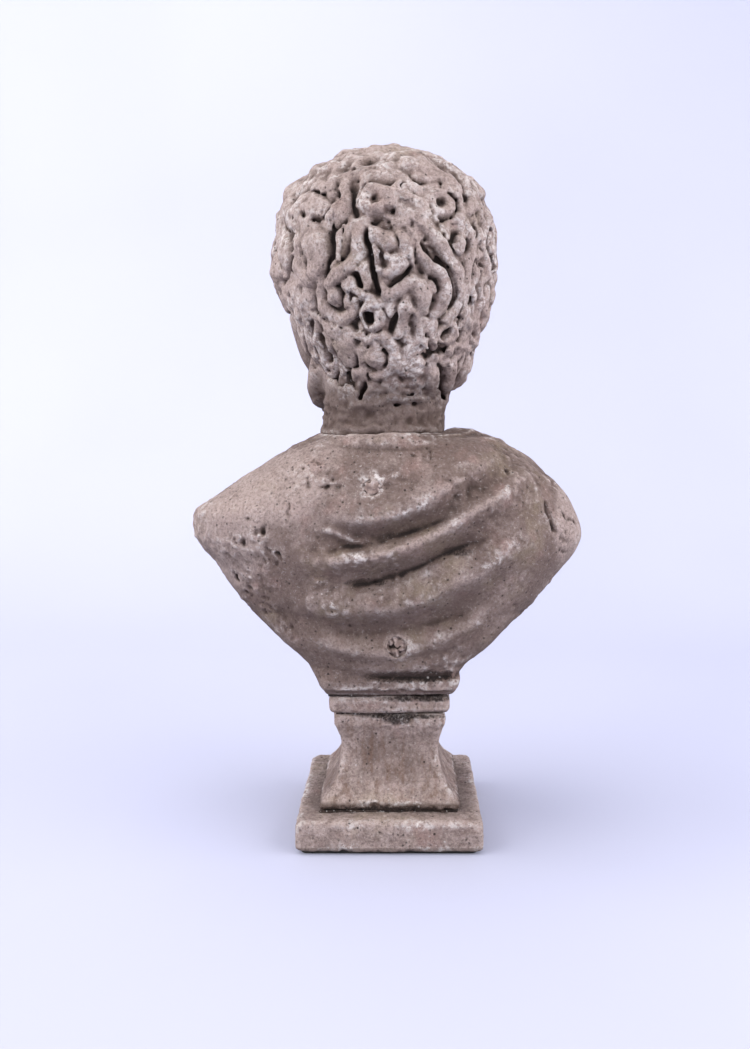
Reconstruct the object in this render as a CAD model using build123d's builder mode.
"""A draped portrait bust on a waisted socle, cast in stone as separate blocks.

The blocks are bedded on thin mortar joints and drawn together by one threaded rod, which runs
from a nut in the underside of the plinth up to an anchor plate cast into the bust. The head and
neck are a block of their own, set into a shallow seat in the mantle on a steel dowel.

Frame: the origin is the centre of the underside, +Z is up, and the chest faces -Y. Millimetres.
"""

import os
from math import cos, radians, sin

from build123d import *

# --- driving dimensions ------------------------------------------------------------------
TOTAL_HEIGHT = 610.0
PLINTH_WIDTH = 157.0
PLINTH_HEIGHT = 25.3
PAD_THICKNESS = 2.2
SHOULDER_WIDTH = 354.0
HEAD_TURN = 27.0  # degrees, towards the bust's own left shoulder (+X)
HEAD_SHIFT = 6.0  # the head and neck lean a little to the left of centre
JOINT = 1.5  # mortar bed thickness
BED_INSET = 3.5  # how far each bed is raked back from the faces

# --- the stack of blocks, bottom to top --------------------------------------------------
PLINTH_Z = PAD_THICKNESS
SOCLE_Z = PLINTH_Z + PLINTH_HEIGHT + JOINT
SOCLE_TOP = 107.5
COLLAR_Z = SOCLE_TOP + JOINT
COLLAR_TOP = 124.5
BUST_Z = COLLAR_TOP + JOINT
MANTLE_TOP = 347.0
NECK_SEAT = 336.0
NECK_Z = NECK_SEAT + JOINT

# --- half widths of the square blocks ----------------------------------------------------
SOCLE_FOOT = 61.5
SOCLE_FOOT_EDGE = 6.5
SOCLE_WAIST = 42.4
SOCLE_LIP = 48.0
SOCLE_LIP_EDGE = 8.0
COLLAR_HALF = 52.8
BUST_FOOT_HALF = 58.5
BUST_FOOT_HEIGHT = 13.0

# --- the steel that holds the blocks together --------------------------------------------
ROD_RADIUS = 5.0
ROD_HOLE = 6.5
ROD_TOP = 236.0
NUT_FLATS = 17.0
NUT_HEIGHT = 8.0
THREAD_GAP = 0.05
WASHER_RADIUS = 15.0
WASHER_THICKNESS = 2.5
LOCK_RADIUS = 9.0
LOCK_THICKNESS = 2.5
WELL_RADIUS = 19.0
WELL_DEPTH = 18.0
ANCHOR_SIDE = 44.0
ANCHOR_THICKNESS = 5.0
ANCHOR_Z = 214.0
DOWEL_RADIUS = 6.0
DOWEL_GAP = 0.1
DOWEL_Z = 286.0
DOWEL_TOP = 410.0

# --- mortar plugs in the back ------------------------------------------------------------
PLUG_GAP = 0.05
PLUG_SINK = 14.0
PLUG_DOME = 4.5
UPPER_PLUG = (14.0, 306.0, 6.5)  # across, up, radius
LOWER_PLUG = (-6.5, 171.0, 8.5)


def stack_plane(z):
    """A horizontal plane at height z."""
    return Plane.XY.offset(z)


def head_plane(z, forward=0.0):
    """A horizontal plane turned with the head, its centre moved forward along the gaze."""
    gaze = Vector(sin(radians(HEAD_TURN)), -cos(radians(HEAD_TURN)), 0)
    side = Vector(cos(radians(HEAD_TURN)), sin(radians(HEAD_TURN)), 0)
    return Plane(origin=gaze * forward + Vector(HEAD_SHIFT, 0, z), x_dir=side, z_dir=(0, 0, 1))


def save(part, name):
    """Labels a finished piece and writes it."""
    part.label = name
    export_step(part, f"parts/{name}.step")


os.makedirs("parts", exist_ok=True)

# --- pad under the plinth ----------------------------------------------------------------
with BuildPart() as base_pad:
    with BuildSketch():
        RectangleRounded(PLINTH_WIDTH - 9, PLINTH_WIDTH - 9, 6)
    extrude(amount=PAD_THICKNESS)
save(base_pad.part, "base_pad")

# --- plinth: a square slab with worn arrises and a well for the nut ----------------------
with BuildPart() as plinth:
    with BuildSketch(stack_plane(PLINTH_Z)):
        RectangleRounded(PLINTH_WIDTH, PLINTH_WIDTH, 5)
    extrude(amount=PLINTH_HEIGHT)
    rims = plinth.faces().sort_by(Axis.Z)
    fillet([*rims[-1].edges(), *rims[0].edges()], 2.5)
    with Locations(plinth.faces().sort_by(Axis.Z)[0]):
        CounterBoreHole(ROD_HOLE, WELL_RADIUS, WELL_DEPTH)
save(plinth.part, "plinth")

# --- socle: a square block whose four faces share one waisted profile --------------------
WAIST_Z = 76.0
SHOULDER_Z = 46.0
SHOULDER_HALF = 49.3
LIP_Z = SOCLE_TOP - SOCLE_LIP_EDGE

with BuildLine() as socle_outline:
    foot = Polyline((0, SOCLE_Z), (SOCLE_FOOT, SOCLE_Z), (SOCLE_FOOT, SOCLE_Z + SOCLE_FOOT_EDGE))
    flare = Spline(
        foot @ 1, (SHOULDER_HALF, SHOULDER_Z), (SOCLE_WAIST, WAIST_Z), (SOCLE_LIP, LIP_Z)
    )
    Polyline(flare @ 1, (SOCLE_LIP, SOCLE_TOP), (0, SOCLE_TOP))
    mirror(about=Plane.YZ)

with BuildPart() as socle:
    with BuildSketch(Plane.XZ):
        add(socle_outline.line)
        make_face()
    extrude(amount=SOCLE_FOOT, both=True)
    with BuildSketch(Plane.YZ):
        add(socle_outline.line)
        make_face()
    extrude(amount=SOCLE_FOOT, both=True, mode=Mode.INTERSECT)
    with Locations((0, 0, SOCLE_TOP)):
        Hole(ROD_HOLE)
save(socle.part, "socle")

# --- collar: a square block with a rounded edge ------------------------------------------
with BuildPart() as collar_block:
    with BuildSketch(stack_plane(COLLAR_Z)):
        RectangleRounded(2 * COLLAR_HALF, 2 * COLLAR_HALF, 4)
    extrude(amount=COLLAR_TOP - COLLAR_Z)
    fillet(collar_block.faces().sort_by(Axis.Z)[0].edges(), 5)
    fillet(collar_block.faces().sort_by(Axis.Z)[-1].edges(), 3)
    with Locations((0, 0, COLLAR_TOP)):
        Hole(ROD_HOLE)
save(collar_block.part, "collar_block")

# --- mortar beds between the square blocks -----------------------------------------------
for bed_name, bed_z, half in (
    ("plinth_mortar", SOCLE_Z - JOINT, SOCLE_FOOT),
    ("socle_mortar", COLLAR_Z - JOINT, SOCLE_LIP),
    ("collar_mortar", BUST_Z - JOINT, COLLAR_HALF),
):
    with BuildPart() as bed:
        with BuildSketch(stack_plane(bed_z)):
            RectangleRounded(2 * (half - BED_INSET), 2 * (half - BED_INSET), 3)
            Circle(ROD_HOLE, mode=Mode.SUBTRACT)
        extrude(amount=JOINT)
    save(bed.part, bed_name)

# --- bust: chest, shoulders and mantle, with the seat for the neck -----------------------
# Sections with round ends, where the arms are cut off. Each row: height, half width,
# half depth, and how far the section's centre stands towards the back.
BUST_SECTIONS = (
    (BUST_Z + BUST_FOOT_HEIGHT - 4, 58.0, 55.0, 0.0),
    (152.0, 74.5, 62.0, -2.0),
    (172.0, 99.0, 70.0, -4.0),
    (204.0, 135.0, 80.0, -6.0),
    (237.0, 162.0, 91.0, -7.0),
    (266.0, SHOULDER_WIDTH / 2, 95.0, -6.0),
    (292.0, 163.0, 90.0, -2.0),
    (318.0, 134.0, 76.0, 4.0),
    (336.0, 104.0, 65.0, 6.0),
    (MANTLE_TOP, 80.0, 59.0, 6.0),
)
NECK_HALF_WIDTH = 53.0
NECK_HALF_DEPTH = 54.0
NECK_BACK = 6.0
SEAT_GAP = 0.5

with BuildPart() as bust_torso:
    for z, half_width, half_depth, back in BUST_SECTIONS:
        with BuildSketch(stack_plane(z)):
            with Locations((0, back)):
                SlotOverall(2 * half_width, 2 * half_depth)
    loft()
    with BuildSketch(stack_plane(BUST_Z)):
        RectangleRounded(2 * BUST_FOOT_HALF, 2 * BUST_FOOT_HALF, 5)
    extrude(amount=BUST_FOOT_HEIGHT)
    with BuildSketch(stack_plane(NECK_SEAT)):
        with Locations((HEAD_SHIFT, NECK_BACK)):
            Ellipse(NECK_HALF_WIDTH + SEAT_GAP, NECK_HALF_DEPTH + SEAT_GAP)
    extrude(amount=40, mode=Mode.SUBTRACT)
    # the rod's hole, and the pocket that the stone filled round the anchor plate and its nut
    with BuildSketch(stack_plane(BUST_Z)):
        Circle(ROD_HOLE)
    extrude(amount=ROD_TOP + 4 - BUST_Z, mode=Mode.SUBTRACT)
    with BuildSketch(stack_plane(ANCHOR_Z)):
        Rectangle(ANCHOR_SIDE, ANCHOR_SIDE)
    extrude(amount=ANCHOR_THICKNESS, mode=Mode.SUBTRACT)
    with BuildSketch(stack_plane(ANCHOR_Z + ANCHOR_THICKNESS)):
        RegularPolygon(NUT_FLATS / 2, 6, major_radius=False)
    extrude(amount=NUT_HEIGHT, mode=Mode.SUBTRACT)
    with BuildSketch(stack_plane(DOWEL_Z)):
        with Locations((HEAD_SHIFT, NECK_BACK)):
            Circle(DOWEL_RADIUS + DOWEL_GAP)
    extrude(amount=NECK_SEAT - DOWEL_Z, mode=Mode.SUBTRACT)
    # the two holes in the back that the plugs close, bored square to the back
    back_faces = {}
    for plug_name, (across, up, radius) in (
        ("upper_plug", UPPER_PLUG),
        ("lower_plug", LOWER_PLUG),
    ):
        ray = Axis((across, 0, up), (0, 1, 0))
        surface = max(point.Y for point, _ in bust_torso.part.find_intersection_points(ray))
        back_faces[plug_name] = surface
        with BuildSketch(Plane.XZ.offset(-(surface - PLUG_SINK))):
            with Locations((across, up)):
                Circle(radius)
        extrude(amount=-2 * PLUG_SINK, mode=Mode.SUBTRACT)
save(bust_torso.part, "bust_torso")

# --- mortar plugs: short pegs with a domed lump left standing on the back ----------------
for plug_name, (across, up, radius) in (
    ("upper_plug", UPPER_PLUG),
    ("lower_plug", LOWER_PLUG),
):
    inner = back_faces[plug_name] - PLUG_SINK
    with BuildPart() as plug:
        with BuildSketch(Plane.XZ.offset(-inner)):
            with Locations((across, up)):
                Circle(radius - PLUG_GAP)
        extrude(amount=-(PLUG_SINK + PLUG_DOME))
        fillet(plug.faces().sort_by(Axis.Y)[-1].edges(), PLUG_DOME - 0.5)
    save(plug.part, plug_name)

# --- mortar under the neck ---------------------------------------------------------------
with BuildPart() as neck_mortar:
    with BuildSketch(stack_plane(NECK_SEAT)):
        with Locations((HEAD_SHIFT, NECK_BACK)):
            Ellipse(NECK_HALF_WIDTH - BED_INSET, NECK_HALF_DEPTH - BED_INSET)
            Circle(DOWEL_RADIUS + DOWEL_GAP, mode=Mode.SUBTRACT)
    extrude(amount=JOINT)
save(neck_mortar.part, "neck_mortar")

# --- head: neck, face and a full cap of curls --------------------------------------------
# Each row: height, half width, half length, and how far the section's centre stands towards
# the gaze. The neck's sections are square to the chest instead.
CURL_SECTIONS = (
    (386.0, 40.0, 44.0, -14.0),
    (400.0, 60.0, 64.0, -14.0),
    (430.0, 80.0, 84.0, -10.0),
    (470.0, 95.0, 101.0, -6.0),
    (510.0, 99.0, 109.0, -3.0),
    (548.0, 95.0, 106.0, -3.0),
    (580.0, 75.0, 84.0, -4.0),
    (600.0, 44.0, 50.0, -5.0),
    (TOTAL_HEIGHT, 12.0, 14.0, -5.0),
)
FACE_SECTIONS = (
    (369.0, 17.0, 20.0, 74.0),
    (378.0, 28.0, 38.0, 60.0),
    (400.0, 44.0, 56.0, 44.0),
    (432.0, 58.0, 70.0, 31.0),
    (470.0, 65.0, 78.0, 24.0),
    (505.0, 66.0, 80.0, 22.0),
    (530.0, 62.0, 76.0, 20.0),
)
NOSE_SECTIONS = (
    (432.0, 13.0, 13.0, 104.0),
    (440.0, 11.0, 15.0, 108.0),
    (460.0, 9.0, 13.0, 102.0),
    (487.0, 8.0, 9.0, 98.0),
)
NECK_SECTIONS = (
    (NECK_Z, NECK_HALF_WIDTH, NECK_HALF_DEPTH, NECK_BACK),
    (NECK_Z + 12, NECK_HALF_WIDTH, NECK_HALF_DEPTH, NECK_BACK),
    (368.0, 54.0, 57.0, 6.0),
    (396.0, 54.0, 60.0, 8.0),
)

with BuildPart() as head:
    for sections in (CURL_SECTIONS, FACE_SECTIONS, NOSE_SECTIONS):
        for z, half_width, half_length, forward in sections:
            with BuildSketch(head_plane(z, forward)):
                Ellipse(half_width, half_length)
        loft()
    for z, half_width, half_depth, back in NECK_SECTIONS:
        with BuildSketch(stack_plane(z)):
            with Locations((HEAD_SHIFT, back)):
                Ellipse(half_width, half_depth)
    loft()
    with BuildSketch(stack_plane(NECK_Z)):
        with Locations((HEAD_SHIFT, NECK_BACK)):
            Circle(DOWEL_RADIUS + DOWEL_GAP)
    extrude(amount=DOWEL_TOP - NECK_Z, mode=Mode.SUBTRACT)
save(head.part, "head")

# --- steel: the tie rod, its nuts and washers, the anchor plate, the neck dowel ----------
WELL_TOP = PLINTH_Z + WELL_DEPTH
washer_z = WELL_TOP - WASHER_THICKNESS
lock_z = washer_z - LOCK_THICKNESS
nut_z = lock_z - NUT_HEIGHT
ROD_BOTTOM = nut_z - 3

with BuildPart() as tie_rod:
    with BuildSketch(stack_plane(ROD_BOTTOM)):
        Circle(ROD_RADIUS)
    extrude(amount=ROD_TOP - ROD_BOTTOM)
    chamfer(tie_rod.edges().filter_by(GeomType.CIRCLE), 0.8)
save(tie_rod.part, "tie_rod")

for nut_name, z in (("tie_nut", nut_z), ("anchor_nut", ANCHOR_Z + ANCHOR_THICKNESS)):
    with BuildPart() as nut:
        with BuildSketch(stack_plane(z)):
            RegularPolygon(NUT_FLATS / 2, 6, major_radius=False)
            Circle(ROD_RADIUS + THREAD_GAP, mode=Mode.SUBTRACT)
        extrude(amount=NUT_HEIGHT)
    save(nut.part, nut_name)

for ring_name, z, radius, thickness in (
    ("tie_washer", washer_z, WASHER_RADIUS, WASHER_THICKNESS),
    ("tie_lock_washer", lock_z, LOCK_RADIUS, LOCK_THICKNESS),
):
    with BuildPart() as ring:
        with BuildSketch(stack_plane(z)):
            Circle(radius)
            Circle(ROD_RADIUS + 0.5, mode=Mode.SUBTRACT)
        extrude(amount=thickness)
    save(ring.part, ring_name)

with BuildPart() as anchor_plate:
    with BuildSketch(stack_plane(ANCHOR_Z)):
        Rectangle(ANCHOR_SIDE, ANCHOR_SIDE)
        Circle(ROD_HOLE, mode=Mode.SUBTRACT)
    extrude(amount=ANCHOR_THICKNESS)
save(anchor_plate.part, "anchor_plate")

with BuildPart() as neck_dowel:
    with BuildSketch(stack_plane(DOWEL_Z)):
        with Locations((HEAD_SHIFT, NECK_BACK)):
            Circle(DOWEL_RADIUS)
    extrude(amount=DOWEL_TOP - DOWEL_Z - 2)
save(neck_dowel.part, "neck_dowel")
